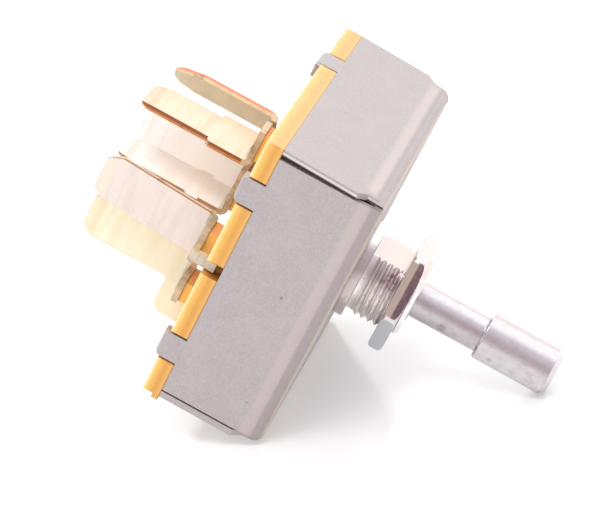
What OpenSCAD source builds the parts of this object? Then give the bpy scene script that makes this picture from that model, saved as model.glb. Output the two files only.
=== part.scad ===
// Rotary fan switch for panel mounting: a folded sheet-steel case closed by a moulded
// terminal base, a threaded bushing with its nut, a stepped shaft and six blade terminals.
// The shaft is the Z axis and points up. z = 0 is the outer face of the case's front panel.
// The -y side is the near wall and the -x side is the flared wall.

/* [Case] */
// Outer width of the square case
case_w = 38.1; // [36.5:0.1:42]
// Depth from the front panel to the back edges of the walls
case_depth = 13.65; // [13.2:0.05:18]
// Thickness of the sheet
sheet_t = 0.85; // [0.7:0.05:1]
// Outer radius of the four front bends
bend_r = 1.5; // [1.2:0.1:2.5]
// Length and lean, in degrees, of the drawn-in band between a bend and its wall
band_l = 2.2; // [1:0.1:3]
band_lean = 5; // [2:0.5:8]
// Outward lean of the flared wall, in degrees
flare = 1.9; // [0:0.1:3]
// Space between a near or far wall and the wide walls at its two ends
wall_gap = 0.25; // [0.1:0.05:0.4]
// How far the corner relief reaches in from the end of a wide wall
relief_w = 1.15; // [0.9:0.05:1.6]
// Depth behind the front panel at which the relief starts
relief_z = 3.6; // [3:0.1:4.5]

/* [Crimp tabs] */
// Width of each tab
tab_w = 3.6; // [3:0.1:5]
// Length of the bent part of a tab, over the back of the base
tab_reach = 2.7; // [1.5:0.1:3]
// Thickness of the bent part, which is pressed thinner than the sheet
tab_t = 0.65; // [0.5:0.05:0.7]
// How far the corners of the bent part are cut
tab_cut = 0.5; // [0.2:0.1:0.8]
// Distance of the tabs from the middle of the near and far walls
tab_x = 12; // [10:0.1:13]
// Sideways place of the tab on a wide wall
tab_y = 8; // [6:0.1:10]
// Sideways reach of the skewed foot of a wide wall's tab
tab_skew = 3.6; // [0:0.1:4]
// Clearance between a tab and its notch in the base
tab_clear = 0.3; // [0.1:0.05:0.5]

/* [Base] */
// Thickness of the base at its edge
base_t = 2.3; // [1.8:0.1:4]
// Height of the raised pads that carry the terminals
pad_h = 1.5; // [0.8:0.1:3]
// How far a foot reaches past its pad
pad_inset = 0.3; // [0.1:0.1:0.6]
// Depth of the plug that sits inside the case
plug_h = 1.4; // [1:0.1:1.8]
// Clearance between the plug and the walls
plug_clear = 0.25; // [0.1:0.05:0.5]
// Height of the thin lip on the plain wide side
lip_h = 0.6; // [0.3:0.1:0.8]
// Width of the edge notch that takes the earth lug
lug_notch_w = 2; // [1.8:0.1:3]

/* [Bushing] */
// Outside diameter of the thread
thread_d = 11.11; // [10:0.01:12]
// Length of the bushing in front of the panel
bushing_l = 8.4; // [7:0.1:14]
// Diameter of the flange
flange_d = 12.9; // [12.2:0.1:16]
// Thickness of the flange
flange_t = 1.2; // [0.8:0.1:2]
// Diameter of the spigot through the panel
spigot_d = 9.5; // [9:0.1:9.8]
// Diameter of the staked rim behind the panel
stake_d = 11; // [10.5:0.1:12]
// Height of the staked rim
stake_t = 0.6; // [0.4:0.1:0.8]
// Depth and width of the relief groove next to the flange
groove_w = 0.7; // [0.5:0.1:1]
groove_cut = 0.45; // [0.2:0.05:0.6]

/* [Nut] */
// Width across the flats
nut_af = 14.29; // [13.5:0.01:17]
// Thickness
nut_t = 1.9; // [1.5:0.1:3]
// Space for the panel between the flange and the nut
grip = 4.6; // [3:0.1:4.9]
// Radial running clearance of the thread
thread_clear = 0.05; // [0.02:0.01:0.08]

/* [Shaft] */
// Diameter of the bearing and of the knob end
shaft_d = 6.35; // [6:0.01:6.5]
// Diameter of the neck
neck_d = 4.76; // [4:0.01:5.5]
// Length of the neck
neck_l = 9.25; // [5:0.05:20]
// Length of the knob end
knob_end_l = 10.3; // [6:0.05:20]
// Chamfer of the knob end
tip_chamfer = 0.7; // [0.3:0.1:1.2]
// Radial running clearance in the bushing
shaft_clear = 0.04; // [0.02:0.01:0.08]
// Diameter of the thrust collar
collar_d = 9.5; // [9:0.1:10.5]
// Thickness of the thrust collar
collar_t = 1; // [0.6:0.1:1.2]
// Diameter and width across the two flats of the drive end
drive_d = 6; // [5.6:0.1:6.2]
drive_flats = 4.6; // [4.2:0.1:5]

/* [Terminals] */
// Width of a blade
blade_w = 6.35; // [5.5:0.05:6.5]
// Thickness of the terminal stock
blade_t = 0.8; // [0.6:0.05:0.9]
// Length of the longest blade from its bend
blade_l = 14.5; // [12:0.1:20]
// Inner radius of the bend between foot and blade
terminal_r = 0.35; // [0.2:0.05:0.5]
// Length of the thinned edge at a blade's tip
tip_bevel_l = 0.9; // [0.4:0.1:1.5]
// Width of the upper terminal over its root
upper_root_w = 8.3; // [6.5:0.1:9]
// Length and height of the leg beside the lower blade
leg_l = 5.1; // [3:0.1:6]
leg_h = 3; // [2:0.1:4]
// Lean of the near blade, in degrees
near_lean = 6.2; // [0:0.1:8]

/* [Rivets] */
// Diameter of a rivet's shank
rivet_d = 2; // [1.6:0.1:2.4]
// Diameter and height of the countersunk outer head
rivet_head_d = 2.8; // [2.4:0.1:3]
rivet_head_h = 0.4; // [0.3:0.05:0.5]
// Diameter and height of the inner head, which carries a silver face
contact_d = 4; // [3.4:0.1:4.2]
contact_h = 0.45; // [0.3:0.05:0.6]
// Diameter and thickness of the silver face
silver_d = 3.4; // [2.4:0.1:3.4]
silver_t = 0.25; // [0.15:0.05:0.3]

/* [Rotor] */
// Diameter of the carrier
carrier_d = 30; // [29:0.1:31]
// Thickness of the carrier
carrier_t = 4.2; // [3.6:0.1:4.5]
// Angle from one switch position to the next
index_angle = 30; // [20:5:30]
// Number of switch positions
positions = 5; // [3:1:5]
// Radius and depth of the index grooves
index_r = 1; // [0.8:0.05:1.1]
index_depth = 0.5; // [0.3:0.05:0.6]
// Thickness of the index spring
spring_sheet_t = 0.35; // [0.3:0.05:0.45]
// Thickness of the contact plate
plate_t = 0.8; // [0.6:0.05:1]
// Wire diameter of the contact spring
wire_d = 0.7; // [0.5:0.05:0.8]
// Radial clearance between pieces that are pushed together
push_clear = 0.05; // [0.02:0.01:0.1]
// Clearance between the rotor and the fixed pieces
rotor_clear = 0.1; // [0.05:0.01:0.2]

/* [Hidden] */
$fn = 64;
over = 1;                       // how far a cut runs past the face that it opens
half = case_w / 2;
inside = half - sheet_t;        // inner face of the straight walls
wall_end = inside - wall_gap;   // end of a near or far wall, next to a wide wall
bend_x = half - band_l * sin(band_lean) - bend_r * cos(band_lean);  // a bend's centre line
band_z = bend_r * (1 - sin(band_lean)) + band_l * cos(band_lean);   // depth of the band's end
flare_out = (case_depth - band_z) * tan(flare);

// Heights of the base, from the case walls backwards
base_top = -case_depth;
base_back = base_top - base_t;
pad_z = base_back - pad_h;
plug_z = base_top + plug_h;
foot_z = pad_z - blade_t;
knee = blade_t + terminal_r;    // reach of the bend between a foot and its blade

// Crimp tabs: the neck's overlap with its wall, and the lower face of the folded foot
tab_root = 0.3;
tab_pitch = tab_w + 2 * tab_clear;
tab_z = base_back - push_clear;

// The earth lug of the near terminal and its place along the near wall
lug_x = -0.3;
lug_w = 1.5;
lug_y = -half + 0.9;

// Heights of the bushing, the nut and the shaft
nut_z = flange_t + grip;
stake_z = -sheet_t - spring_sheet_t - stake_t;
washer_t = 0.4;
collar_z = stake_z - rotor_clear - washer_t;
neck_z = bushing_l + 0.2;
knob_z = neck_z + neck_l;
shaft_top = knob_z + knob_end_l;

// Heights of the rotor, from the collar backwards
carrier_z = collar_z - collar_t - push_clear;
carrier_back = carrier_z - carrier_t;
ring_t = 0.6;
ring_groove_d = drive_flats - 0.4;
ring_z = carrier_back - push_clear;
shaft_end = ring_z - ring_t - 2 * push_clear - 0.6;
tip_h = 0.45;
plate_z = plug_z + contact_h + silver_t + rotor_clear + tip_h + plate_t;
carrier_r = carrier_d / 2;
index_ring_r = carrier_r - 2.6;
peg_r = 1.2;
peg_ring_r = 8;
peg_angles = [0, 120, 240];
spring_seat = 0.9;
spring_ring_r = 5.2;

// Each terminal: the middle of its blade's inner face, the direction of its foot, the foot's
// length, width and sideways shift, the rivet's distance, the root's width and how much
// shorter than blade_l the blade is
FAR = [-8.17, 8.17, 315, 4.4, 4, 0, 2.9, blade_w, 0.9];
UPPER = [-7.1, -0.4, 180, 5.4, 3.4, 2.45, 3.4, 3.4, 0];
BACK = [0.17, 8, 270, 4.6, 4, 1.2, 2.9, 4, 0];
MIDDLE = [1.17, -0.4, 180, 7.2, blade_w, 0, 4.4, blade_w, -0.05];
NEAR = [0.4, -10.4, 270, 4.9, 5, -0.6, 3, 5, -0.3];
LOWER = [7.5, -6.2, 270, 5.8, 3.4, 1.15, 3.4, 3.4, 0.3];
TERMINALS = [FAR, UPPER, BACK, MIDDLE, NEAR, LOWER];
function foot_l(t) = t[3];
function foot_w(t) = t[4];
function foot_shift(t) = t[5];
function rivet_x(t) = t[6];
function root_w(t) = t[7];
function blade_len(t) = blade_l - t[8];

// A block from corner a to corner b
module block(a, b) translate(a) cube(b - a);

// A square plate with round corners, centred on the axis, from z0 up to z1
module round_plate(w, r, z0, z1) {
  s = w / 2 - r;
  block([-s, -w / 2, z0], [s, w / 2, z1]);
  block([-w / 2, -s, z0], [w / 2, s, z1]);
  for (x = [-s, s], y = [-s, s]) translate([x, y, z0]) cylinder(r = r, h = z1 - z0);
}

// A case wall on the +x side, from y0 to y1: a front bend, a leaning band and the wall
module wall(y0, y1, lean = 0) {
  inner_r = bend_r - sheet_t;
  out = (case_depth - band_z) * tan(lean);
  translate([bend_x, y0, -bend_r]) rotate([-90, 0, 0]) rotate(-90)
    rotate_extrude(angle = 90 - band_lean) translate([inner_r, 0]) square([sheet_t, y1 - y0]);
  translate([0, y1, 0]) rotate([90, 0, 0]) linear_extrude(y1 - y0) polygon([
    [bend_x + bend_r * cos(band_lean), bend_r * (sin(band_lean) - 1)],
    [half, -band_z],
    [half + out, -case_depth],
    [inside + out, -case_depth],
    [inside, -band_z],
    [bend_x + inner_r * cos(band_lean), inner_r * sin(band_lean) - bend_r]]);
}

// A wide wall covers the ends of its neighbours, and its bend is relieved at both corners
module wide_wall(lean = 0) difference() {
  wall(-half, half, lean);
  for (side = [-1, 1]) translate([bend_x - over, 0, 0]) rotate([90, 0, 90])
    linear_extrude(half) polygon([
      [side * (half + over), -relief_z],
      [side * (half - 0.1 * relief_w), -relief_z],
      [side * (half - 0.6 * relief_w), -relief_z + 0.5 * relief_w],
      [side * (half - relief_w), -relief_z + relief_w],
      [side * (half - relief_w), over],
      [side * (half + over), over]]);
}

// A crimp tab on a +x wall whose outer face is at x = out: a neck through the base's notch
// with cut corners, and a foot folded over the back of the base, skewed sideways by skew
module tab(out, y, skew = 0) translate([out - sheet_t, y, 0]) {
  side = tab_w / 2;
  foot_side = side - tab_cut;
  bend = sheet_t - tab_t;
  tip_x = sheet_t - tab_reach;
  intersection() {
    union() {
      block([0, -side, tab_z], [sheet_t, side, base_top + tab_root]);
      translate([bend, -side, tab_z]) rotate([-90, 0, 0]) intersection() {
        cylinder(r = tab_t, h = tab_w);
        cube([tab_t, tab_t, tab_w]);
      }
    }
    rotate([90, 0, 90]) linear_extrude(sheet_t) polygon([
      [-side, base_top + tab_root],
      [-side, tab_z - tab_t + 1.2 * tab_cut],
      [0.3 * tab_cut - side, tab_z - tab_t + 0.5 * tab_cut],
      [-foot_side, tab_z - tab_t],
      [foot_side, tab_z - tab_t],
      [side - 0.3 * tab_cut, tab_z - tab_t + 0.5 * tab_cut],
      [side, tab_z - tab_t + 1.2 * tab_cut],
      [side, base_top + tab_root]]);
  }
  translate([0, 0, tab_z - tab_t]) linear_extrude(tab_t) polygon([
    [bend, foot_side],
    [bend, -foot_side],
    [0.15 * tip_x, -foot_side - 0.6 * skew],
    [0.45 * tip_x, -foot_side - skew],
    [0.85 * tip_x, -foot_side - skew],
    [tip_x, -foot_side - skew + 0.5],
    [tip_x, foot_side - 0.5],
    [0.75 * tip_x, foot_side]]);
}

// The folded case: front panel, two wide walls, the near and far walls between them
module case() color("#b8b0b2") difference() {
  union() {
    block([-bend_x, -bend_x, -sheet_t], [bend_x, bend_x, 0]);
    wide_wall();
    rotate(180) wide_wall(flare);
    for (a = [-90, 90]) rotate(a) wall(-wall_end, wall_end);
    for (a = [-90, 90], x = [-tab_x, tab_x]) rotate(a) tab(half, x);
    tab(half, -tab_y);
    rotate(180) tab(half + flare_out, -tab_y, tab_skew);
  }
  translate([0, 0, -sheet_t - over])
    cylinder(d = spigot_d + 2 * push_clear, h = sheet_t + 2 * over);
}

// A notch in the base's +x edge for a tab of the wall whose outer face is at x = out
module tab_notch(out, y)
  block([out - sheet_t - tab_clear, y - tab_pitch / 2, base_back - over],
        [out + over, y + tab_pitch / 2, base_top + tab_root + tab_clear]);

// Places its children at the rivet of a terminal, at z = 0
module at_rivet(t) translate([t[0], t[1], 0]) rotate(t[2])
  translate([rivet_x(t), foot_shift(t), 0]) children();

// The stop lug's angle at rest, the half widths of the lug and of the two stop posts, and
// the posts' angles: the lug swings between them with half a degree to spare
lug_angle = 75;
lug_half = 8;
post_half = 4;
travel = index_angle * (positions - 1);
stop_r = carrier_r + 1.3;
stop_spare = lug_half + post_half + 0.5;
post_angles = [lug_angle + stop_spare, lug_angle - travel - stop_spare];

// A ring sector centred on angle a, from radius r0 to r1 and height z0 to z1
module sector(a, half_a, r0, r1, z0, z1) rotate(a - half_a) translate([0, 0, z0])
  rotate_extrude(angle = 2 * half_a) translate([r0, 0]) square([r1 - r0, z1 - z0]);

// The raised pad under a terminal's foot
module pad(t) translate([t[0], t[1], 0]) rotate(t[2]) {
  w = foot_w(t) / 2 - pad_inset;
  block([knee, foot_shift(t) - w, pad_z],
        [foot_l(t) - pad_inset, foot_shift(t) + w, base_back + over]);
}

// The moulded terminal base: edge band, lip, pads outside, plug and stop posts inside
module base() color("#f2b24a") difference() {
  union() {
    block([-half - flare_out, -half, base_back], [half, half, base_top]);
    block([half - over, -half, base_top - 0.9], [half + lip_h, half, base_top]);
    round_plate(2 * (inside - plug_clear), 1, base_top - over, plug_z);
    for (t = TERMINALS) pad(t);
    for (a = post_angles)
      sector(a, post_half, carrier_r + 0.3, stop_r + 0.4, plug_z - over, carrier_back + 3);
  }
  for (a = [-90, 90], x = [-tab_x, tab_x]) rotate(a) tab_notch(half, x);
  tab_notch(half, -tab_y);
  rotate(180) tab_notch(half + flare_out, -tab_y);
  block([lug_x - lug_notch_w / 2, -half - over, base_back - over],
        [lug_x + lug_notch_w / 2, lug_y + blade_t + 0.5, base_top + over]);
  for (t = TERMINALS) at_rivet(t) translate([0, 0, pad_z - over])
    cylinder(d = rivet_d + 2 * push_clear, h = plug_z - pad_z + 2 * over);
}

// The turned bushing: flange, relief groove, thread barrel, spigot and staked rim
thread_end_chamfer = 0.6;
module bushing() color("#d4d2d4") difference() {
  rotate_extrude() polygon([
    [0, stake_z],
    [stake_d / 2 - 0.3, stake_z],
    [stake_d / 2, stake_z + 0.3],
    [stake_d / 2, stake_z + stake_t],
    [spigot_d / 2, stake_z + stake_t],
    [spigot_d / 2, 0],
    [flange_d / 2, 0],
    [flange_d / 2, flange_t - 0.2],
    [flange_d / 2 - 0.2, flange_t],
    [thread_d / 2 - groove_cut, flange_t],
    [thread_d / 2 - groove_cut, flange_t + groove_w],
    [thread_d / 2, flange_t + groove_w + groove_cut],
    [thread_d / 2, bushing_l - thread_end_chamfer],
    [thread_d / 2 - thread_end_chamfer, bushing_l],
    [0, bushing_l]]);
  translate([0, 0, stake_z - over])
    cylinder(r = shaft_d / 2 + shaft_clear, h = bushing_l - stake_z + 2 * over);
}

// The hexagon nut, chamfered on its outer face only
module mounting_nut() color("#dcdadc") translate([0, 0, nut_z]) difference() {
  corner_r = nut_af / sqrt(3);
  intersection() {
    rotate(30) cylinder(r = corner_r, h = nut_t, $fn = 6);
    rotate_extrude() polygon([
      [0, 0], [corner_r, 0], [corner_r, 0.7 * nut_t], [nut_af / 2, nut_t], [0, nut_t]]);
  }
  translate([0, 0, -over]) cylinder(r = thread_d / 2 + thread_clear, h = nut_t + 2 * over);
}

// The stepped shaft with its thrust collar, two-flat drive end and ring groove
module shaft() color("#c9c7c9") {
  collar_back = collar_z - collar_t;
  rotate_extrude() polygon([
    [0, collar_back],
    [collar_d / 2, collar_back],
    [collar_d / 2, collar_z],
    [shaft_d / 2, collar_z],
    [shaft_d / 2, neck_z - 0.2],
    [shaft_d / 2 - 0.2, neck_z],
    [neck_d / 2, neck_z],
    [neck_d / 2, knob_z],
    [shaft_d / 2 - 0.25, knob_z],
    [shaft_d / 2, knob_z + 0.25],
    [shaft_d / 2, shaft_top - tip_chamfer],
    [shaft_d / 2 - tip_chamfer, shaft_top],
    [0, shaft_top]]);
  difference() {
    intersection() {
      translate([0, 0, shaft_end]) cylinder(d = drive_d, h = collar_back - shaft_end);
      block([-drive_d, -drive_flats / 2, shaft_end], [drive_d, drive_flats / 2, collar_back]);
    }
    translate([0, 0, ring_z - ring_t - push_clear]) difference() {
      cylinder(d = 2 * drive_d, h = ring_t + push_clear);
      translate([0, 0, -over]) cylinder(d = ring_groove_d, h = ring_t + 3 * over);
    }
  }
}

// A plain washer between the staked rim and the collar
module thrust_washer() color("#c8a25c") translate([0, 0, collar_z]) difference() {
  cylinder(d = collar_d + 0.6, h = washer_t);
  translate([0, 0, -over]) cylinder(r = shaft_d / 2 + 2 * push_clear, h = washer_t + 2 * over);
}

// The index spring: a ring held under the staked rim, with three arms that dip to the
// carrier, each with a nub that sits in an index groove
arm_w = 3.4;
nub_l = 2.2;
nub_r = index_r - rotor_clear;
nub_z = carrier_z + index_r - index_depth;
module index_spring() color("#9aa0a6") {
  spring_z = -sheet_t - spring_sheet_t;
  ring_r = index_ring_r - 3.4;
  drop = spring_z - nub_z;
  run = index_ring_r - ring_r;
  difference() {
    translate([0, 0, spring_z]) cylinder(r = ring_r, h = spring_sheet_t);
    translate([0, 0, spring_z - over]) cylinder(d = spigot_d, h = spring_sheet_t + 2 * over);
  }
  for (a = peg_angles) rotate(a + lug_angle) {
    translate([ring_r - 0.3, -arm_w / 2, spring_z]) rotate([0, atan(drop / run), 0])
      cube([norm([drop, run]) + 0.3, arm_w, spring_sheet_t]);
    translate([index_ring_r - nub_l / 2, 0, nub_z]) rotate([0, 90, 0])
      cylinder(r = nub_r, h = nub_l);
  }
}

// The moulded carrier: index grooves in front, pegs, spring seat and stop lug
module carrier() color("#3c3a38") difference() {
  union() {
    translate([0, 0, carrier_back]) cylinder(r = carrier_r, h = carrier_t);
    sector(lug_angle, lug_half, carrier_r - over, stop_r, carrier_back, carrier_back + 2.6);
    for (a = peg_angles) rotate(a) translate([peg_ring_r, 0, plate_z - plate_t])
      cylinder(r = peg_r, h = carrier_back - plate_z + plate_t + over);
  }
  for (a = [0 : index_angle : 359]) rotate(a + lug_angle)
    translate([index_ring_r - 1.7, 0, nub_z]) rotate([0, 90, 0])
      cylinder(r = index_r, h = carrier_r);
  translate([0, 0, carrier_back - over]) intersection() {
    cylinder(r = drive_d / 2 + push_clear, h = carrier_t + 2 * over);
    block([-drive_d, -drive_flats / 2 - push_clear, 0],
          [drive_d, drive_flats / 2 + push_clear, carrier_t + 2 * over]);
  }
  translate([0, 0, carrier_back - over]) difference() {
    cylinder(r = spring_ring_r + 0.9, h = spring_seat + over);
    translate([0, 0, -over]) cylinder(r = spring_ring_r - 0.9, h = spring_seat + 3 * over);
  }
}

// The open retaining ring in the shaft's groove
module retaining_ring() color("#8f9398") translate([0, 0, ring_z - ring_t]) difference() {
  mouth = ring_groove_d / 2 - 0.2;
  cylinder(d = drive_d + 1.8, h = ring_t);
  translate([0, 0, -over]) cylinder(d = ring_groove_d + 2 * push_clear, h = ring_t + 2 * over);
  block([0, -mouth, -over], [drive_d, mouth, ring_t + over]);
}

// The contact spring: a round wire along a helix with closed ends
spring_turns = 3;
spring_steps = 20;
wire_sides = 8;
wire_spare = 0.02;
spring_top = carrier_back + spring_seat - wire_spare - wire_d / 2;
spring_low = plate_z + wire_spare + wire_d / 2;
function turn(i) = i / spring_steps;
function rise(u) = max(0, min(1, (u - 0.6) / (spring_turns - 1.2)));
function wire_point(i, k) = let (a = 360 * turn(i), b = 360 * k / wire_sides,
                                 r = spring_ring_r + wire_d / 2 * cos(b))
  [r * cos(a), r * sin(a),
   spring_low + (spring_top - spring_low) * rise(turn(i)) + wire_d / 2 * sin(b)];
function wire_face(i, k) = let (m = (k + 1) % wire_sides, a = i * wire_sides,
                                b = (i + 1) * wire_sides)
  [a + k, b + k, b + m, a + m];
module contact_spring() color("#a9adb0") {
  n = spring_turns * spring_steps;
  sides = [for (k = [0 : wire_sides - 1]) k];
  polyhedron(
    points = [for (i = [0 : n], k = sides) wire_point(i, k)],
    faces = concat([sides],
                   [for (i = [0 : n - 1], k = sides) wire_face(i, k)],
                   [[for (k = sides) (n + 1) * wire_sides - 1 - k]]));
}

// Places on the contact plate: distance from the axis and angle of each tip
TIPS = [[4, 184], [10.9, 193], [12.9, 310]];
tip_shank_d = 1.4;

// The contact plate: a round copper plate that the pegs turn
module contact_plate() color("#c98a52") difference() {
  translate([0, 0, plate_z - plate_t]) cylinder(r = carrier_r - 0.6, h = plate_t);
  for (a = peg_angles) rotate(a) translate([peg_ring_r, 0, plate_z - plate_t - over])
    cylinder(r = peg_r + push_clear, h = plate_t + 2 * over);
  for (t = TIPS) rotate(t[1]) translate([t[0], 0, plate_z - plate_t - over])
    cylinder(d = tip_shank_d, h = plate_t + 2 * over);
}

// The silver tips riveted into the contact plate
module contact_tips() color("#dfe0e0") for (t = TIPS) rotate(t[1]) translate([t[0], 0, 0]) {
  translate([0, 0, plate_z - plate_t]) cylinder(d = tip_shank_d, h = plate_t);
  translate([0, 0, plate_z - plate_t - tip_h]) cylinder(d1 = 1.8, d2 = 2.6, h = tip_h);
}

// A blade's outline across its width, tip down. cut is how far the tip's corners are cut
// in and up, on the -y and the +y side
function blade_outline(l, cut0, cut1) = [
  [-blade_w / 2, 0],
  [blade_w / 2, 0],
  [blade_w / 2, cut1[1] - l],
  [blade_w / 2 - cut1[0] * 0.55, cut1[1] * 0.3 - l],
  [blade_w / 2 - cut1[0], -l],
  [cut0[0] - blade_w / 2, -l],
  [cut0[0] * 0.55 - blade_w / 2, cut0[1] * 0.3 - l],
  [-blade_w / 2, cut0[1] - l]];

// A plate in the blade's plane, cut to the outline given
module in_blade_plane(points) rotate([90, 0, 90]) linear_extrude(blade_t) polygon(points);

// A rectangle in the blade's plane, w wide, from z0 down to z1, with its lower corners cut
module shoulder(w, z0, z1) in_blade_plane([
  [-w / 2, z0], [w / 2, z0], [w / 2, z1 + 0.4], [w / 2 - 0.4, z1], [0.4 - w / 2, z1],
  [-w / 2, z1 + 0.4]]);

// A rivet's countersunk head from z = 0 upwards, with a clearance around it
module rivet_head(clear = 0)
  cylinder(d1 = rivet_head_d + 2 * clear, d2 = rivet_d + 2 * clear, h = rivet_head_h);

// A terminal: a foot on its pad, a bend, and a blade with a thinned tip. Children are
// plates in the blade's plane that join the blade
module terminal(t, cut0, cut1, lean = 0) color("#e6cfa2")
  translate([t[0], t[1], pad_z]) rotate(t[2]) {
    l = blade_len(t);
    w = foot_w(t) / 2;
    difference() {
      block([knee, foot_shift(t) - w, -blade_t], [foot_l(t), foot_shift(t) + w, 0]);
      translate([rivet_x(t), foot_shift(t), -blade_t]) {
        translate([0, 0, -over]) cylinder(d = rivet_d + 2 * push_clear, h = blade_t + 2 * over);
        rivet_head(push_clear);
      }
    }
    translate([knee, foot_shift(t) - root_w(t) / 2, -knee]) rotate([-90, 0, 0]) rotate(180)
      rotate_extrude(angle = 90 + lean) translate([terminal_r, 0]) square([blade_t, root_w(t)]);
    translate([knee, 0, -knee]) rotate([0, lean, 0]) translate([-knee, 0, 0]) intersection() {
      union() {
        in_blade_plane(blade_outline(l, cut0, cut1));
        children();
      }
      translate([0, 2 * blade_w, 0]) rotate([90, 0, 0]) linear_extrude(4 * blade_w) polygon([
        [0, knee + pad_h],
        [blade_t, knee + pad_h],
        [blade_t, tip_bevel_l - l],
        [0.72 * blade_t, -l],
        [0.28 * blade_t, -l],
        [0, tip_bevel_l - l]]);
    }
  }

plain_cut = [1.2, 2];
module terminal_far() terminal(FAR, [2.4, 4.2], [1.7, 3.1]);
module terminal_back() terminal(BACK, plain_cut, [0.7, 1.1]);

// This blade is wider over its root
module terminal_upper() terminal(UPPER, plain_cut, [0.5, 0.8])
  shoulder(upper_root_w, 0, -5.1);

// This blade has a small stop shoulder at each side
module terminal_middle() terminal(MIDDLE, plain_cut, plain_cut)
  shoulder(blade_w + 1.2, -2.9, -4.8);

// This terminal leans, and its foot carries the earth lug that drops into the edge notch
module terminal_near() {
  terminal(NEAR, plain_cut, [1, 1.5], near_lean);
  color("#e6cfa2") translate([lug_x - lug_w / 2, lug_y, 0]) {
    block([0, 0, foot_z], [lug_w, NEAR[1] - foot_l(NEAR) + 0.2 - lug_y, pad_z]);
    block([0, 0, foot_z], [lug_w, blade_t, base_top - 1]);
  }
}

// This blade has a leg beside its root that stands on the base
leg_r = 1.2;
module terminal_lower() terminal(LOWER, plain_cut, [1.1, 1.6]) {
  leg_end = blade_w / 2 + leg_l;
  leg_z = knee - leg_h;
  in_blade_plane([
    [blade_w / 2 - 1, knee + pad_h],
    [blade_w / 2 - 1, leg_z],
    [leg_end - leg_r, leg_z],
    [leg_end - 0.3 * leg_r, leg_z + 0.3 * leg_r],
    [leg_end, leg_z + leg_r],
    [leg_end, knee + pad_h]]);
}

// The six rivets: countersunk head in the foot, shank, and the inner head
module terminal_rivets() color("#c99a6a") for (t = TERMINALS) at_rivet(t) {
  translate([0, 0, foot_z]) rivet_head();
  translate([0, 0, foot_z]) cylinder(d = rivet_d, h = plug_z - foot_z);
  translate([0, 0, plug_z]) cylinder(d = contact_d, h = contact_h);
}

// The silver faces bonded to the rivets' inner heads
module fixed_contacts() color("#e2e2e0") for (t = TERMINALS) at_rivet(t)
  translate([0, 0, plug_z + contact_h]) cylinder(d = silver_d, h = silver_t);

case();
base();
bushing();
mounting_nut();
shaft();
thrust_washer();
index_spring();
carrier();
retaining_ring();
contact_spring();
contact_plate();
contact_tips();
fixed_contacts();
terminal_far();
terminal_upper();
terminal_back();
terminal_middle();
terminal_near();
terminal_lower();
terminal_rivets();
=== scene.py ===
"""Rotary fan switch: finishes, turned thread, worn nut, stage, light and camera around the
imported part. Sizes and places are in millimetres and colours are 0-255 display values."""
import math

import bpy
import numpy as np
from mathutils import Matrix, Vector


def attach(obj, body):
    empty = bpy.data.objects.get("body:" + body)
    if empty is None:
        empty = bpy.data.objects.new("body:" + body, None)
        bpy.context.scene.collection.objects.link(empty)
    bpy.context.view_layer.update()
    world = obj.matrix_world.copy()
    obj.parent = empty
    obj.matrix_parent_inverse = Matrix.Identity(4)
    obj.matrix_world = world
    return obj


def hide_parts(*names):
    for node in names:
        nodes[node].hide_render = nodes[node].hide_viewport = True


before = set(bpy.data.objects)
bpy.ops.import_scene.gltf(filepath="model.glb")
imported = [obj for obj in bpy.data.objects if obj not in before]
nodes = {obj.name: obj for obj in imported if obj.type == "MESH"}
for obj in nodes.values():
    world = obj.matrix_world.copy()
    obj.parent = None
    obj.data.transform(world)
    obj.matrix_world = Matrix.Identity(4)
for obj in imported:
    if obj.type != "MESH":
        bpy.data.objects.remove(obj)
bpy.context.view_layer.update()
MM = 0.001
TO_MM = 1000.0

WHITE = (255, 255, 255)
FLOOR_UP = Vector((-0.870, 0.0, -0.494)).normalized()
CAMERA_AT = Vector((-181.444, -330.623, 4.911)) * MM
CAMERA_RIGHT = Vector((-0.40652, 0.25785, 0.87650)).normalized()
TO_CAMERA = Vector((-0.48557, -0.87362, 0.0318))
# Across the shaft, to its bright side
SHAFT_UP = (-0.874, 0.486, 0)
# Segments round the turned bushing and the nut, and the angle from which an edge is sharp
SEGMENTS = 360
SHARP = math.radians(35)


# ---------------------------------------------------------------- finishes

def linear(rgb):
    """A colour as the linear values that shaders take."""
    c = np.array(rgb, float) / 255
    low = c <= 0.04045
    return (*np.where(low, c / 12.92, ((c + 0.055) / 1.055) ** 2.4), 1.0)


def darker(rgb, share):
    return tuple(int(c * share) for c in rgb)


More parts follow.
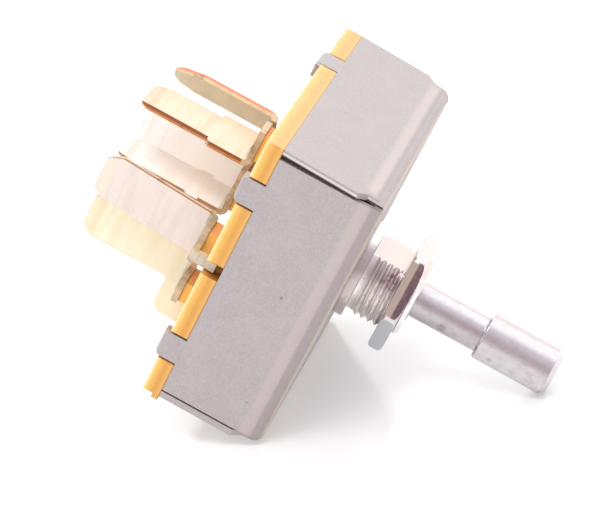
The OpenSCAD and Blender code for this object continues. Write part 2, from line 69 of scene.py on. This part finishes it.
class Nodes:
    """A node tree and the recipes that the finishes and the room share."""

    def __init__(self, tree):
        self.tree = tree

    def new(self, kind, inputs=None, **settings):
        """A new node. inputs gives what goes into its sockets, by name or by number."""
        node = self.tree.nodes.new(kind)
        for key, value in settings.items():
            setattr(node, key, value)
        self.fill(node, inputs or {})
        return node

    def fill(self, node, inputs):
        """Links each output into its socket, or sets the socket's own value."""
        for key, value in inputs.items():
            if isinstance(value, bpy.types.NodeSocket):
                self.tree.links.new(value, node.inputs[key])
            else:
                node.inputs[key].default_value = value

    def math(self, operation, a, b=0.0, c=0.0):
        return self.new("ShaderNodeMath", {0: a, 1: b, 2: c}, operation=operation).outputs[0]

    def dot(self, vector, direction):
        node = self.new("ShaderNodeVectorMath", {0: vector, 1: direction},
                        operation="DOT_PRODUCT")
        return node.outputs["Value"]

    def off(self, value, middle=0.0):
        """How far the value is from the middle, either way."""
        return self.math("ABSOLUTE", self.math("SUBTRACT", value, middle))

    def both(self, *shares):
        """The product of the shares, which is 1 where all of them are."""
        product = shares[0]
        for share in shares[1:]:
            product = self.math("MULTIPLY", product, share)
        return product

    def band(self, value, low, high):
        """0 below low, 1 above high and a smooth step between, or the other way round."""
        first, last = (1.0, 0.0) if low > high else (0.0, 1.0)
        node = self.new("ShaderNodeMapRange",
                        {"Value": value, "From Min": min(low, high), "From Max": max(low, high),
                         "To Min": first, "To Max": last}, interpolation_type="SMOOTHSTEP")
        return node.outputs["Result"]

    def between(self, value, start, full, fade, end):
        """0 below start and above end, 1 from full to fade, and smooth steps between."""
        return self.both(self.band(value, start, full), self.band(value, end, fade))

    def spread(self, fac, low, high):
        """A 0-1 value turned into the range from low to high."""
        return self.math("MULTIPLY_ADD", fac, high - low, low)

    def blend(self, share, a, b):
        """Colour a where share is 0 and b where it is 1."""
        a, b = (linear(c) if isinstance(c, tuple) else c for c in (a, b))
        return self.new("ShaderNodeMix", {"Factor": share, 6: a, 7: b},
                        data_type="RGBA").outputs[2]

    def steps(self, value, first, *stops):
        """The first colour, then each stop's, which fades in from its low to its high value."""
        colour = first
        for low, high, other in stops:
            colour = self.blend(self.band(value, low, high), colour, other)
        return colour

    def layers(self, colour, *tints):
        """The colour with tints over it, each given by its share, its colour and its amount."""
        for share, other, amount in tints:
            colour = self.blend(self.math("MULTIPLY", share, amount), colour, other)
        return colour


class Finish(Nodes):
    """One material, and recipes that start from places on the piece."""

    def __init__(self, name):
        self.mat = bpy.data.materials.new(name)
        self.mat.use_nodes = True
        super().__init__(self.mat.node_tree)
        self.shader = self.tree.nodes["Principled BSDF"]
        coords = self.new("ShaderNodeTexCoord")
        self.place = coords.outputs["Object"]
        self.facing = coords.outputs["Normal"]

    def faces(self, direction):
        """How far the surface looks along a direction, from -1 to 1."""
        return self.dot(self.facing, direction)

    def along(self, axis):
        """The place along X, Y or Z."""
        node = self.new("ShaderNodeSeparateXYZ", {0: self.place})
        return self.math("MULTIPLY", node.outputs[axis], TO_MM)

    def along_line(self, direction):
        """The place along any other direction."""
        return self.dot(self.place, Vector(direction) * TO_MM)

    def away_from(self, point):
        """Distance from a point of the switch."""
        node = self.new("ShaderNodeVectorMath", {0: self.place, 1: [v * MM for v in point]},
                        operation="DISTANCE")
        return self.math("MULTIPLY", node.outputs["Value"], TO_MM)

    def from_axis(self):
        """Distance from the shaft's axis."""
        flat = self.new("ShaderNodeVectorMath", {0: self.place, 1: (TO_MM, TO_MM, 0)},
                        operation="MULTIPLY")
        return self.new("ShaderNodeVectorMath", {0: flat.outputs["Vector"]},
                        operation="LENGTH").outputs["Value"]

    def grain(self, size, detail=3.0, rough=0.55, stretch=(1, 1, 1), shift=0.0):
        """Noise from 0 to 1 with spots about size across, longer where stretch is above 1."""
        where = self.new("ShaderNodeMapping",
                         {"Vector": self.place, "Location": (shift, shift * 0.7, shift * 1.3),
                          "Scale": [1 / s for s in stretch]})
        return self.new("ShaderNodeTexNoise",
                        {"Vector": where.outputs[0], "Scale": 1 / (size * MM),
                         "Detail": detail, "Roughness": rough}).outputs["Fac"]

    def specks(self, spacing, share, radius=0.3):
        """1 inside small round spots, in that share of the cells of a lattice."""
        cell = self.new("ShaderNodeTexVoronoi",
                        {"Vector": self.place, "Scale": 1 / (spacing * MM)})
        chosen = self.math("LESS_THAN", self.dot(cell.outputs["Color"], (1, 0, 0)), share)
        return self.both(self.band(cell.outputs["Distance"], radius, radius * 0.5), chosen)

    def surface(self, colour, metallic, roughness, height, depth, edge=0.0):
        """Sets the shader, with bump as deep as depth from height, and with edges that look
        rounded by the radius edge."""
        bump = self.new("ShaderNodeBump", {"Distance": depth * MM, "Height": height})
        if edge:
            bevel = self.new("ShaderNodeBevel", {"Radius": edge * MM}, samples=6)
            self.fill(bump, {"Normal": bevel.outputs[0]})
        self.fill(self.shader, {"Normal": bump.outputs[0], "Base Color": colour,
                                "Metallic": metallic, "Roughness": roughness})
        return self.mat


def zinc_sheet():
    """Satin zinc on the folded sheet: fine speckle, soft clouds and a few pits. A painted
    highlight makes the bands beside the bends paler up to near the corners, painted shade darkens
    the bends and a line along them, and a painted cream highlight runs along the front edge, which
    has small rusty spots. The wide walls' cut ends are pale, with painted shade near black on
    their inner part by the gap, and a brown line beside them."""
    f = Finish("zinc_sheet")
    x, y, z = f.along("X"), f.along("Y"), f.along("Z")
    off_x, off_y = f.off(x), f.off(y)
    fine, clouds = f.grain(0.22, 2, 0.6), f.grain(3.5, 3, 0.5, shift=0.3)
    colour = f.blend(f.band(fine, 0.3, 0.7), (180, 172, 172), (194, 185, 185))

    # Painted highlight: the paler bands beside the front bends stand for the light they reflect.
    wide_band_highlight = f.both(f.between(z, -3.4, -2.4, -1.9, -1.5), f.band(off_y, 17.5, 16.7))
    near_band_highlight = f.both(f.between(z, -3.2, -2.7, -2.4, -0.9), f.band(off_y, 18.3, 18.7),
                        f.band(off_x, 18.0, 17.8))
    # Painted shade: a dark line along the front bends, the bends darker, and the near wall's bend
    # darker still.
    crease_shade = f.band(f.off(z, -1.25), 0.3, 0.1)
    bend_shade = f.band(z, -1.7, -0.9)
    near_bend_shade = f.both(bend_shade, f.band(off_y, 17.6, 18.2))
    # Painted highlight: a cream line along the front edge, where the rust specks are real.
    edge = f.both(f.band(f.math("MAXIMUM", off_x, off_y), 17.0, 17.4), f.band(z, -0.35, -0.1))
    rust = f.both(edge, f.specks(1.1, 0.22, 0.3))

    # Distance from the axis towards the flared wall, with the wall's slope taken off
    slope, offset = 0.0332, 0.118
    depth = f.math("MULTIPLY_ADD", z, slope, f.math("SUBTRACT", offset, x))
    cut_end = f.both(f.band(f.off(f.faces((0, 1, 0))), 0.8, 0.95),
                     f.between(depth, 18.1, 18.2, 18.74, 18.8))
    # Painted shade: the inner part of each cut end, by the gap, is near black, so the gap looks
    # wider.
    cut_colour = f.steps(depth, (34, 26, 24), (18.36, 18.44, (228, 218, 217)))
    brown_line = f.both(f.band(off_y, 18.9, 19.0), f.between(depth, 18.72, 18.78, 18.82, 18.88))

    pits, glints = f.specks(1.7, 0.06, 0.10), f.specks(2.3, 0.05, 0.09)
    near_spot = f.band(f.away_from((-1.6, -19.05, -5.9)), 0.32, 0.1)
    colour = f.layers(
        colour,
        (f.band(clouds, 0.45, 0.75), (200, 189, 188), 0.35),
        (wide_band_highlight, (220, 204, 200), 0.5),
        (near_band_highlight, (214, 198, 193), 0.35),
        (crease_shade, (166, 152, 152), 0.35),
        (bend_shade, (184, 173, 172), 0.2),
        (near_bend_shade, (152, 141, 139), 0.5),
        (edge, (228, 208, 180), 0.5),
        (rust, (176, 118, 66), 0.7),
        (cut_end, cut_colour, 0.85),
        (brown_line, (150, 120, 112), 0.55),
        (pits, (126, 114, 112), 0.6),
        (glints, (238, 232, 232), 0.7),
        (near_spot, (150, 112, 92), 0.7))
    height = f.math("SUBTRACT", fine, f.math("MULTIPLY", pits, 2.0))
    return f.surface(colour, 0.55, f.spread(fine, 0.45, 0.58), height, 0.006, 0.12)


def amber_plastic():
    """Moulded amber base: a painted highlight along the back edge, deeper in the middle of its
    sides, a painted shadow line along the lip by the case, and painted light on the flared wall's
    side. Painted shade makes the ends at its notches browner and the notch for the earth lug dark
    red-brown."""
    f = Finish("amber_plastic")
    x, y, z = f.along("X"), f.along("Y"), f.along("Z")
    flow = f.grain(2.4, 3, 0.5, (1, 1, 0.4))
    # Painted light and shade across the sides: a pale highlight at the back edge, lighter again
    # near the lip, and a brown shadow line at the lip by the case.
    colour = f.steps(z, (246, 196, 104), (-16.1, -15.97, (255, 232, 170)),
                     (-15.85, -15.6, (244, 202, 116)), (-15.6, -15.2, (234, 180, 90)),
                     (-15.2, -14.6, (221, 160, 76)), (-14.4, -13.95, (228, 174, 98)),
                     (-13.85, -13.68, (176, 126, 78)))
    # Painted light: the side below the flared wall is lighter.
    flared_side_light = f.band(f.faces((-1, 0, 0)), 0.5, 0.9)
    back = f.band(f.faces((0, 0, -1)), 0.7, 0.9)
    # Painted shade: the earth lug's notch is dark red-brown and the ends at the notches browner.
    lug_notch_shade = f.both(f.band(f.off(x, -0.3), 1.12, 0.98), f.band(y, -17.1, -17.4),
                       f.band(z, -15.9, -14.6))
    notch_end_shade = f.both(f.band(f.off(f.faces((1, 0, 0))), 0.6, 0.8),
                        f.band(f.off(x), 14.5, 14.0))
    colour = f.layers(
        colour,
        (flared_side_light, (243, 200, 142), 0.5),
        (back, (238, 182, 98), 1.0),
        (f.band(flow, 0.5, 0.8), (226, 158, 76), 0.25),
        (lug_notch_shade, (96, 28, 8), 0.85),
        (notch_end_shade, (190, 116, 52), 0.6))
    f.fill(f.shader, {"Subsurface Weight": 0.12, "Subsurface Scale": 0.4 * MM,
                      "Subsurface Radius": (1.0, 0.5, 0.2)})
    return f.surface(colour, 0.0, f.spread(flow, 0.36, 0.5), f.grain(0.3, 2), 0.006, 0.15)


def terminal_metal(name, face, shade, rim, cut, across, middle, through, inner, tip_z):
    """Tin-washed terminal metal: pale rolled faces with soft bands across the blade, smudges and
    tiny pits, painted shade along the rim and at the tip, a blotchy foot darkened by painted shade
    and a coppery leg end. The bare cut edges go from the first colour of cut at the inner face
    to the second at the outer one. across and through are the directions across the blade and
    through its thickness, middle and inner the places of the blade's middle and of its inner
    face along them, and tip_z the tip's height."""
    f = Finish(name)
    z = f.along("Z")
    shoulder_z, foot_z, pad_z = -24.5, -18.85, -16.8
    bands = f.grain(1.5, 2, 0.5, (8, 8, 1))
    clouds = f.grain(2.2, 3, 0.6, shift=0.2)
    rolling = f.band(f.grain(0.7, 2, 0.5, (9, 9, 1), 0.6), 0.54, 0.64)
    near_tip = f.band(z, tip_z + 6, tip_z + 2)
    smudges = f.band(f.grain(0.9, 3, 0.6, shift=0.9), 0.6, 0.74)
    dull = darker(shade, 0.82)

    aside = f.off(f.along_line(across), middle)
    # Painted shade: the rim colour along the blade's edges and at its tip stands for the shading
    # of their bevels.
    blade_edge = f.both(f.band(aside, 2.8, 3.15), f.band(z, shoulder_z + 0.2, shoulder_z - 0.2))
    outline_shade = f.math("MAXIMUM", blade_edge, f.band(z, tip_z + 0.8, tip_z + 0.2))
    depth = f.math("SUBTRACT", f.along_line(through), inner)
    cut_marks = f.band(f.grain(1.6, 3, 0.6, shift=0.5), 0.5, 0.72)
    cut_colour = f.layers(f.blend(f.band(depth, 0.26, 0.42), *cut),
                          (cut_marks, darker(cut[1], 0.6), 0.6))
    cut_side = f.band(f.off(f.faces(across)), 0.6, 0.75)
    # Painted shade: the foot, under the blades by the base, is blotchy and darker than the blade.
    foot = f.both(f.band(z, foot_z, foot_z + 0.35), f.band(aside, 4.4, 4.2))
    foot_colour = f.blend(f.band(clouds, 0.38, 0.62), (212, 194, 168), (160, 148, 120))
    leg_end = f.both(f.band(z, pad_z, pad_z + 0.6), f.band(aside, 4.4, 4.8))
    colour = f.layers(
        f.blend(f.band(bands, 0.4, 0.68), face, shade),
        (f.band(clouds, 0.5, 0.72), shade, 0.4),
        (f.both(rolling, near_tip), dull, 0.14),
        (smudges, dull, 0.16),
        (f.specks(0.9, 0.1, 0.07), dull, 0.8),
        (outline_shade, rim, 0.4),
        (cut_side, cut_colour, 1.0),
        (foot, foot_colour, 0.85),
        (leg_end, (206, 108, 60), 0.6))
    return f.surface(colour, 0.12, f.spread(clouds, 0.36, 0.48), bands, 0.003, 0.08)


def turned_grain(f):
    """Fine rings round Z and faint clouds, as both turned pieces have them."""
    return f.grain(0.12, 2, 0.5, (60, 60, 1)), f.grain(1.3, 4, 0.65, shift=0.4)


def shaft_plating():
    """Bright turned plating: fine rings around Z, faint clouds and a painted beige reflection
    along the edge of the bright side. Dull pitted marks and two bigger smudges are on the side
    turned away from it, where the marks also darken it as painted shade, and there the neck is
    darker with painted shade and the tip's edge has a painted grey line of shade."""
    f = Finish("shaft_plating")
    z, up = f.along("Z"), f.faces(SHAFT_UP)
    knob_z, tip_edge_z = 17.95, 27.45
    turned, clouds = turned_grain(f)
    below = f.band(up, 0.3, -0.3)
    # Painted shade: the neck is darker on the side turned away from the bright side.
    neck = f.both(f.band(z, knob_z, knob_z - 0.2), below)
    marks = f.band(f.grain(0.8, 5, 0.7, (1, 1, 1.4), 0.9), 0.46, 0.7)
    # Painted shade: a grey line at the tip's edge on the side turned away.
    tip_edge_shade = f.both(f.band(f.off(z, tip_edge_z), 0.12, 0.04), below)

    def smudge(at, size):
        return f.both(f.band(f.away_from(at), size, size * 0.3), f.spread(marks, 0.4, 1.0))

    colour = f.layers(
        f.blend(f.band(clouds, 0.42, 0.75), (217, 213, 215), (207, 202, 204)),
        (neck, (186, 178, 181), 0.5),
        # Real dull marks, kept to the side turned away, where they also darken it as painted
        # shade.
        (f.both(marks, below), (160, 159, 158), 0.4),
        # Painted reflection: a beige line along the edge of the bright side.
        (f.band(up, 0.74, 0.92), (198, 184, 180), 0.8),
        (tip_edge_shade, (150, 143, 146), 0.35),
        (smudge((0.8, -2.2, 12.9), 0.9), (100, 97, 99), 0.75),
        (smudge((1.1, -2.95, 20.1), 0.6), (100, 97, 99), 0.75),
        (f.specks(0.8, 0.12, 0.12), (120, 114, 116), 0.6))
    return f.surface(colour, 1.0, f.spread(clouds, 0.17, 0.24), turned, 0.003, 0.1)


def bushing_plating():
    """Dull bright plating of the turned bushing. The milled flat is a pale pink-grey. Below it
    comes a violet-grey stretch of painted reflection, with reddish marks near the nut, and painted
    shade darkens the thread's valleys there. The flange is greyer on its lower side with painted
    shade."""
    f = Finish("bushing_plating")
    z, up, radius = f.along("Z"), f.faces(SHAFT_UP), f.from_axis()
    turned, clouds = turned_grain(f)
    thread = f.between(z, 1.3, 1.8, 7.7, 7.9)
    # Painted shade in the thread's valleys on the side turned away from the bright side.
    valley_shade = f.both(f.band(radius, 5.42, 5.2), thread, f.band(up, 0.4, 0.0))
    # Painted reflection: a violet-grey stretch below the bright side.
    stretch = f.between(up, -0.18, 0.02, 0.45, 0.6)
    red = f.both(f.band(f.grain(0.8, 3, 0.6, shift=0.2), 0.46, 0.6), stretch, thread,
                 f.band(up, 0.4, 0.25), f.band(z, 2.5, 4.8))
    # Painted shade: the flange is greyer on its lower side.
    flange = f.both(f.band(radius, 5.7, 6.0), f.band(up, 0.6, 0.3))
    flat = f.both(f.band(f.faces((-1, 0, 0)), 0.985, 0.996), f.band(z, 1.25, 1.3))
    colour = f.layers(
        f.blend(f.band(clouds, 0.42, 0.75), (255, 250, 247), (250, 242, 240)),
        (valley_shade, (126, 120, 116), 0.3),
        (f.both(stretch, f.band(z, 7.9, 7.7)), (186, 170, 180), 0.4),
        (red, (150, 88, 82), 0.6),
        (flange, (186, 174, 172), 0.75),
        (flat, (228, 213, 208), 1.0))
    return f.surface(colour, 0.8, f.spread(clouds, 0.22, 0.3), turned, 0.001)


def pressed_nut():
    """Bright pressed nut: clouds and a few dull marks. Painted reflections make one flat tan on
    its inner half and mottled dark on its outer one, and the flats on either side pale and
    blue-grey."""
    f = Finish("nut_plating")
    z = f.along("Z")
    clouds = f.grain(1.6, 4, 0.65, shift=0.4)
    marks = f.band(f.grain(0.7, 4, 0.7, shift=0.9), 0.6, 0.72)
    # Painted reflections: one flat tan with a mottled dark outer half, and the flats beside it
    # pale and blue-grey.
    tan_flat = f.both(f.band(f.faces((-0.5, -0.866, 0)), 0.9, 0.97),
                      f.band(f.from_axis(), 7.0, 7.1))
    upper_flat = f.band(f.faces((-1, 0, 0)), 0.9, 0.97)
    lower_flat = f.band(f.faces((0.5, -0.866, 0)), 0.9, 0.97)
    dark_reflection = f.blend(f.band(f.grain(0.9, 4, 0.65, shift=0.5), 0.35, 0.65), (166, 134, 136),
                    (116, 102, 118))
    colour = f.layers(
        f.blend(f.band(clouds, 0.42, 0.75), (224, 220, 219), (208, 204, 205)),
        (marks, (150, 140, 140), 0.3),
        (tan_flat, (222, 211, 194), 0.85),
        (upper_flat, (213, 207, 203), 0.85),
        (lower_flat, (214, 222, 229), 0.7),
        (f.both(tan_flat, f.band(z, 6.65, 6.85)), dark_reflection, 0.95))
    return f.surface(colour, 1.0, f.spread(clouds, 0.16, 0.24), clouds, 0.01, 0.12)


def plain_metal(name, light, dark, roughness, stretch=(1, 1, 1)):
    """Metal of the inner pieces: rolled grain, faint clouds and rounded edges."""
    f = Finish(name)
    rolled, clouds = f.grain(0.25, 3, 0.6, stretch), f.grain(2.0, 3, 0.6, shift=0.6)
    mean = f.math("ADD", f.math("MULTIPLY", rolled, 0.5), f.math("MULTIPLY", clouds, 0.5))
    colour = f.blend(f.band(mean, 0.4, 0.65), light, dark)
    return f.surface(colour, 1.0, f.spread(clouds, roughness * 0.8, roughness * 1.3),
                     rolled, 0.004, 0.06)


def dark_plastic():
    """Moulded dark plastic of the carrier, with a fine spark-eroded texture."""
    f = Finish("carrier_plastic")
    fine, flow = f.grain(0.18, 2, 0.5), f.grain(3.0, 3, 0.5, shift=0.2)
    colour = f.blend(f.band(flow, 0.4, 0.7), (62, 58, 54), (46, 44, 42))
    return f.surface(colour, 0.0, f.spread(fine, 0.5, 0.68), fine, 0.01, 0.15)


def wear(obj, material):
    """Gives the piece this one material."""
    obj.data.materials.clear()
    obj.data.materials.append(material)


SILVER = plain_metal("contact_silver", (228, 228, 224), (190, 190, 188), 0.3)
FINISHES = {
    "case": zinc_sheet(),
    "base": amber_plastic(),
    "shaft": shaft_plating(),
    "thrust_washer": plain_metal("washer_brass", (216, 178, 104), (176, 136, 72), 0.35),
    "index_spring": plain_metal("index_spring_steel", (168, 172, 176), (126, 128, 132), 0.3,
                                (8, 1, 1)),
    "carrier": dark_plastic(),
    "retaining_ring": plain_metal("ring_steel", (150, 152, 156), (104, 104, 108), 0.4),
    "contact_spring": plain_metal("spring_wire", (176, 178, 182), (138, 140, 144), 0.3),
    "contact_plate": plain_metal("plate_copper", (214, 146, 98), (170, 104, 64), 0.34,
                                 (6, 1, 1)),
    "contact_tips": SILVER,
    "fixed_contacts": SILVER,
    "terminal_rivets": plain_metal("rivet_copper", (232, 160, 104), (176, 98, 58), 0.34)}
for node, material in FINISHES.items():
    wear(nodes[node], material)

DIAGONAL = math.sqrt(0.5)
TERMINALS = {
    # Painted light and shade: the far terminal's dark tan face stands for the shade it lies in,
    # and the back and middle terminals' near-white faces for the strong light on them.
    "terminal_far": dict(
        face=(214, 197, 154), shade=(202, 185, 142), rim=(214, 196, 166),
        cut=((240, 138, 106), (206, 184, 148)), across=(DIAGONAL, DIAGONAL, 0), middle=0,
        through=(DIAGONAL, -DIAGONAL, 0), inner=-11.55, tip_z=-31.0),
    "terminal_upper": dict(
        face=(254, 228, 206), shade=(246, 214, 186), rim=(208, 164, 122),
        cut=((204, 142, 86), (148, 88, 50)), across=(0, 1, 0), middle=-0.4,
        through=(-1, 0, 0), inner=7.1, tip_z=-31.9),
    "terminal_back": dict(
        face=(253, 253, 255), shade=(250, 247, 248), rim=(246, 234, 226),
        cut=((236, 166, 104), (232, 186, 140)), across=(1, 0, 0), middle=0.17,
        through=(0, -1, 0), inner=-8, tip_z=-31.9),
    "terminal_middle": dict(
        face=(253, 252, 252), shade=(250, 244, 240), rim=(214, 192, 168),
        cut=((226, 204, 184), (176, 140, 106)), across=(0, 1, 0), middle=-0.4,
        through=(-1, 0, 0), inner=-1.17, tip_z=-31.95),
    "terminal_near": dict(
        face=(234, 222, 215), shade=(227, 213, 206), rim=(240, 228, 196),
        cut=((226, 206, 192), (166, 132, 96)), across=(1, 0, 0), middle=0.4,
        through=(0, -0.9942, -0.108), inner=12.34, tip_z=-32.1),
    "terminal_lower": dict(
        face=(253, 248, 222), shade=(250, 241, 208), rim=(226, 204, 162),
        cut=((222, 176, 126), (196, 134, 92)), across=(1, 0, 0), middle=7.5,
        through=(0, -1, 0), inner=6.2, tip_z=-31.6)}
for node, recipe in TERMINALS.items():
    wear(nodes[node], terminal_metal(node + "_metal", **recipe))


# ---------------------------------------------------------------- turned bushing and nut

def turn_angles():
    return np.linspace(0, 2 * np.pi, SEGMENTS, endpoint=False)


def closed_ring(name, r, z, t):
    """A ring about the Z axis as one closed surface. The point in row i at angle t is
    (r cos t, r sin t, z), with r and z for each row and angle, and the last row meets the
    first."""
    rows, columns = r.shape
    points = np.stack([r * np.cos(t), r * np.sin(t), np.broadcast_to(z, r.shape)], -1)
    i, j = np.meshgrid(np.arange(rows), np.arange(columns), indexing="ij")
    i1, j1 = (i + 1) % rows, (j + 1) % columns
    faces = np.stack([i * columns + j, i * columns + j1, i1 * columns + j1, i1 * columns + j], -1)
    mesh = bpy.data.meshes.new(name)
    mesh.from_pydata((points.reshape(-1, 3) * MM).tolist(), [], faces.reshape(-1, 4).tolist())
    obj = bpy.data.objects.new(name, mesh)
    bpy.context.scene.collection.objects.link(obj)
    return obj


def threaded_bushing():
    """The bushing with its thread and the flat milled along it. On the barrel the radius at
    height z and angle t is R - w(z) * (depth * g + b * (1 - g)). g is a triangle wave of
    z / pitch - t / 2 pi with its tips cut, so the ridges climb one pitch each turn. w fades
    the ridges out at the relief groove and the end chamfer, and b is the product of two sines
    of t and z, a faint burr on the crests. Above the flange the radius on the -X side is at
    most d / cos(t - pi), which is the flat at distance d."""
    crest, pitch, depth, flat_at, burr_height = 5.555, 0.907, 0.45, 4.25, 0.02
    bore, spigot, staked, groove_r, flange = 3.215, 4.75, 5.5, 5.105, 6.45
    stake, front, flange_top, low, high, end = -1.8, 0.0, 1.2, 1.9, 8.1, 8.4
    chamfer, end_chamfer_z, run_in, run_out = 0.45, 7.8, 0.4, 0.3
    barrel = np.linspace(low, high, 150)
    rise = np.clip((barrel - low) / chamfer, 0, 1) * chamfer + (crest - chamfer)
    fall = crest - np.clip(barrel - end_chamfer_z, 0, None)
    profile = [(bore, stake), (staked - 0.3, stake), (staked, stake + 0.3),
               (staked, stake + 0.6), (spigot, stake + 0.6), (spigot, front), (flange, front),
               (flange, flange_top - 0.15), (flange - 0.07, flange_top - 0.05),
               (flange - 0.18, flange_top), (groove_r, flange_top), (groove_r, low - 0.05)]
    profile += list(zip(np.minimum(rise, fall), barrel))
    profile += [(crest - 0.6, end), (bore + 0.15, end), (bore, end - 0.15)]
    t = turn_angles()
    r, z = np.array(profile, float).T[:, :, None]
    ridge = np.abs(2 * np.mod(z / pitch - t / (2 * np.pi), 1) - 1)
    groove = np.clip(1.3 * (1 - ridge) - 0.12, 0, 1)
    share = (np.clip((z - low - 0.05) / run_in, 0, 1)
             * np.clip((high + 0.05 - z) / run_out, 0, 1))
    burr = burr_height * np.sin(9 * t + 5 * z) * np.sin(23 * t - 3 * z)
    on_barrel = (r > groove_r - 0.005) & (z > low)
    threaded = np.where(on_barrel, r - share * (depth * groove + burr * (1 - groove)), r)
    chord = flat_at / np.maximum(-np.cos(t), 0.5)
    milled = (z >= flange_top) & (r < crest + 0.145)
    return closed_ring("threaded_bushing", np.where(milled, np.minimum(threaded, chord), threaded),
                       z, t)


def rounded_nut():
    """The hexagon nut. Its two faces reach from the bore out to R(t) = min(a / cos(t'), c), with
    a half the width across flats, c the radius of the worn corners and t' the angle from the
    middle of the nearest flat. Towards the corners a face falls by h (1 - sqrt(1 - u^2)), where
    u goes from 0 at its starting radius to 1 at c."""
    half_across, corner, bore, low, high, sink = 7.145, 8.12, 5.605, 5.8, 7.7, 0.3
    inner_fall, outer_fall = (7.5, 0.38), (7.25, 0.5)
    t = turn_angles()
    off_flat = np.mod(t + np.pi / 6, np.pi / 3) - np.pi / 6
    edge = np.minimum(half_across / np.cos(off_flat), corner)
    share = np.sin(np.linspace(0, np.pi / 2, 12))[:, None]
    face = bore + sink + share * (edge - bore - sink)

    def fall(start, height):
        u = np.clip((face - start) / (corner - start), 0, 1)
        return height * (1 - np.sqrt(1 - u * u))

    hole = np.full((1, len(t)), bore)
    r = np.concatenate([hole, face, face[::-1], hole])
    z = np.concatenate([hole * 0 + low + sink, low + fall(*inner_fall),
                        (high - fall(*outer_fall))[::-1], hole * 0 + high - sink])
    return closed_ring("rounded_nut", r, z, t)


for piece, finish, body, replaced, slot in (
        (threaded_bushing(), bushing_plating(), "body", "bushing", "plated_steel"),
        (rounded_nut(), pressed_nut(), "nut", "mounting_nut", "plated_nut")):
    wear(piece, finish)
    piece.data.shade_smooth()
    piece.data.set_sharp_from_angle(angle=SHARP)
    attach(piece, body)
    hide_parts(replaced)


# ---------------------------------------------------------------- stage, light and camera

def floor():
    """A glossy white plane, clear from its back. It passes through the lowest point of the
    case and the shaft, so the case's edge and the shaft's tip touch it."""
    half_size = 450 * MM
    corners = np.concatenate([np.array([v.co for v in nodes[n].data.vertices])
                              for n in ("case", "shaft")])
    low = float((corners @ np.array(FLOOR_UP)).min())
    side = FLOOR_UP.cross(TO_CAMERA).normalized()
    front = side.cross(FLOOR_UP)
    points = [FLOOR_UP * low + side * a * half_size + front * b * half_size
              for a, b in ((-1, -1), (1, -1), (1, 1), (-1, 1))]
    mesh = bpy.data.meshes.new("floor")
    mesh.from_pydata([tuple(p) for p in points], [], [(0, 1, 2, 3)])
    if mesh.polygons[0].normal.dot(FLOOR_UP) < 0:
        mesh.flip_normals()
    obj = bpy.data.objects.new("floor", mesh)
    bpy.context.scene.collection.objects.link(obj)
    f = Finish("floor_white")
    f.fill(f.shader, {"Base Color": (0.75, 0.745, 0.755, 1), "Roughness": 0.2,
                      "Specular IOR Level": 0.9, "Coat Weight": 0.7, "Coat Roughness": 0.16,
                      "Emission Color": (1, 1, 1, 1), "Emission Strength": 0.25})
    back = f.new("ShaderNodeNewGeometry").outputs["Backfacing"]
    clear = f.new("ShaderNodeBsdfTransparent")
    mix = f.new("ShaderNodeMixShader", {0: back, 1: f.shader.outputs[0], 2: clear.outputs[0]})
    f.fill(f.tree.nodes["Material Output"], {"Surface": mix.outputs[0]})
    wear(obj, f.mat)


def room():
    """White for the camera. Matt surfaces get plain light that is weaker from the sides,
    except from the terminals' end. Metal sees a white room with a mauve-grey side towards the
    camera, which fades upwards."""
    world = bpy.data.worlds.new("room")
    bpy.context.scene.world = world
    world.use_nodes = True
    f = Nodes(world.node_tree)
    direction = f.new("ShaderNodeTexCoord").outputs["Generated"]
    rays = f.new("ShaderNodeLightPath").outputs

    def light(colour, strength):
        return f.new("ShaderNodeBackground", {"Color": colour, "Strength": strength}).outputs[0]

    def pick(ray, other, own):
        return f.new("ShaderNodeMixShader", {0: rays[ray], 1: other, 2: own}).outputs[0]

    height = f.dot(direction, (-0.882, 0.470, 0))
    ahead = f.dot(direction, TO_CAMERA)
    left = f.band(f.dot(direction, (0, 0, -1)), 0.1, 0.8)
    near_side = f.steps(height, (198, 190, 192), (-0.4, -0.1, (178, 165, 168)),
                        (0.1, 0.55, (192, 186, 194)), (0.6, 0.98, WHITE))
    glossy = light(f.blend(f.band(ahead, -0.2, 0.35), WHITE, near_side), 1.5)
    plain = f.steps(ahead, (250, 250, 252), (-0.6, -0.1, (196, 195, 197)),
                    (0.1, 0.95, (230, 228, 227)))
    matt = light(f.blend(left, plain, WHITE), 1.3)
    shown = pick("Is Camera Ray", pick("Is Glossy Ray", matt, glossy), light((1, 1, 1, 1), 1.0))
    f.fill(f.tree.nodes["World Output"], {"Surface": shown})


def key_lamp():
    """A soft square lamp above the floor that points at the middle of the switch."""
    direction = Vector((-0.863, -0.348, -0.367)).normalized()
    distance = 500 * MM
    data = bpy.data.lights.new("key", "AREA")
    data.size, data.energy = 200 * MM, 0.9
    obj = bpy.data.objects.new("key", data)
    bpy.context.scene.collection.objects.link(obj)
    obj.location = direction * distance
    obj.rotation_euler = (-direction).to_track_quat("-Z", "Y").to_euler()


def camera():
    """The camera, given by where it stands and by its right, up and backward directions."""
    data = bpy.data.cameras.new("camera")
    data.lens, data.sensor_width = 180.0, 36.0
    data.clip_start, data.clip_end = 10 * MM, 10000 * MM
    obj = bpy.data.objects.new("camera", data)
    bpy.context.scene.collection.objects.link(obj)
    back = (TO_CAMERA - CAMERA_RIGHT * TO_CAMERA.dot(CAMERA_RIGHT)).normalized()
    turn = Matrix((CAMERA_RIGHT, back.cross(CAMERA_RIGHT), back)).transposed().to_4x4()
    obj.matrix_world = Matrix.Translation(CAMERA_AT) @ turn
    bpy.context.scene.camera = obj


floor()
room()
camera()
key_lamp()
bpy.context.scene.view_settings.view_transform = "Standard"
